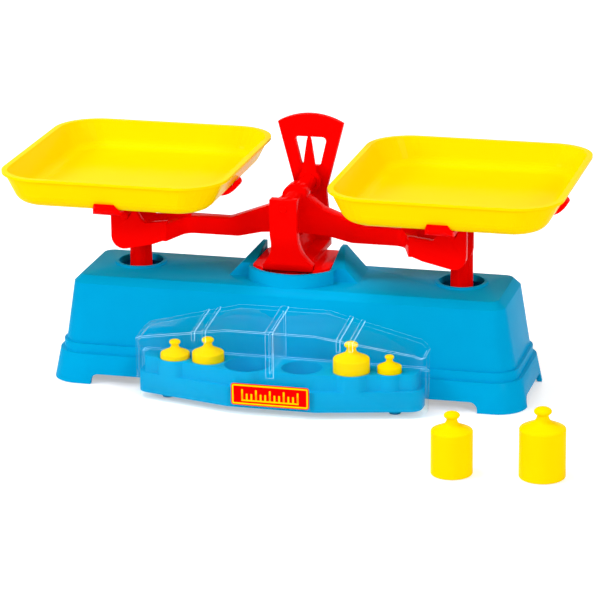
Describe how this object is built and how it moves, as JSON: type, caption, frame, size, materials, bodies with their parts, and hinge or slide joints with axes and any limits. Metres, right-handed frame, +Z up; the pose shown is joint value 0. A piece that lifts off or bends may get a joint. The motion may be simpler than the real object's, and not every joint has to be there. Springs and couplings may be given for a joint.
{
  "type": "toy pan balance",
  "caption": "Toy balance scale: a tilting beam on a tower carries two pans on guided posts above a moulded base, with knobbed weights in a clear-lidded case.",
  "frame": {"origin": "on the floor, in the middle of the whole set's footprint", "axes": "+X along the beam to the right pan, +Y to the back, +Z up"},
  "size_m": [0.3064, 0.2006, 0.133],
  "materials": {
    "blue_shell": "gloss",
    "red_plastic": "gloss",
    "yellow_plastic": "gloss",
    "clear_plastic": "clear moulded polystyrene",
    "label_film": "printed film"
  },
  "bodies": {
    "base": {"base_housing": "blue_shell", "tower": "red_plastic", "stay_pin": "red_plastic"},
    "beam": {"beam": "red_plastic", "beam_axle": "red_plastic", "needle": "red_plastic"},
    "left_carrier": {"left_carrier": "red_plastic", "left_pivot_pin": "red_plastic"},
    "right_carrier": {"right_carrier": "red_plastic", "right_pivot_pin": "red_plastic"},
    "stay": {"stay_bar": "red_plastic"},
    "left_pan": {"left_pan": "yellow_plastic"},
    "right_pan": {"right_pan": "yellow_plastic"},
    "case": {"case_tray": "blue_shell"},
    "case_cover": {"case_cover": "clear_plastic", "case_label": "label_film"},
    "weight_1": {"weight_1": "yellow_plastic"},
    "weight_2": {"weight_2": "yellow_plastic"},
    "weight_3": {"weight_3": "yellow_plastic"},
    "weight_4": {"weight_4": "yellow_plastic"},
    "weight_5": {"weight_5": "yellow_plastic"},
    "weight_6": {"weight_6": "yellow_plastic"}
  },
  "joints": [
    {"name": "beam_tilt", "type": "hinge", "parent": "base", "child": "beam", "pos_m": [-0.00827, 0.03682, 0.098], "axis": [0, 1, 0], "range_deg": [-8, 8]},
    {"name": "left_post_swivel", "type": "hinge", "parent": "beam", "child": "left_carrier", "pos_m": [-0.09377, 0.03682, 0.0875], "axis": [0, 1, 0], "range_deg": [-8, 8]},
    {"name": "right_post_swivel", "type": "hinge", "parent": "beam", "child": "right_carrier", "pos_m": [0.07723, 0.03682, 0.0875], "axis": [0, 1, 0], "range_deg": [-8, 8]},
    {"name": "stay_swing", "type": "hinge", "parent": "base", "child": "stay", "pos_m": [-0.00827, 0.04532, 0.0345], "axis": [0, 1, 0], "range_deg": [-8, 8]},
    {"name": "left_pan_lift", "type": "slide", "parent": "left_carrier", "child": "left_pan", "axis": [0, 0, 1], "range_m": [0, 0.06]},
    {"name": "right_pan_lift", "type": "slide", "parent": "right_carrier", "child": "right_pan", "axis": [0, 0, 1], "range_m": [0, 0.06]},
    {"name": "case_slide", "type": "slide", "parent": "base", "child": "case", "axis": [0, -1, 0], "range_m": [0, 0.06]},
    {"name": "cover_lift", "type": "slide", "parent": "case", "child": "case_cover", "axis": [0, 0, 1], "range_m": [0, 0.03]},
    {"name": "weight_1_lift", "type": "slide", "parent": "base", "child": "weight_1", "axis": [0, 0, 1], "range_m": [0, 0.06]},
    {"name": "weight_2_lift", "type": "slide", "parent": "base", "child": "weight_2", "axis": [0, 0, 1], "range_m": [0, 0.06]},
    {"name": "weight_3_lift", "type": "slide", "parent": "case", "child": "weight_3", "axis": [0, 0, 1], "range_m": [0, 0.002]},
    {"name": "weight_4_lift", "type": "slide", "parent": "case", "child": "weight_4", "axis": [0, 0, 1], "range_m": [0, 0.005]},
    {"name": "weight_5_lift", "type": "slide", "parent": "case", "child": "weight_5", "axis": [0, 0, 1], "range_m": [0, 0.004]},
    {"name": "weight_6_lift", "type": "slide", "parent": "case", "child": "weight_6", "axis": [0, 0, 1], "range_m": [0, 0.0035]}
  ],
  "couplings": [
    {"joint": "left_post_swivel", "follows": "beam_tilt", "ratio": -1},
    {"joint": "right_post_swivel", "follows": "beam_tilt", "ratio": -1},
    {"joint": "stay_swing", "follows": "beam_tilt", "ratio": 1}
  ]
}
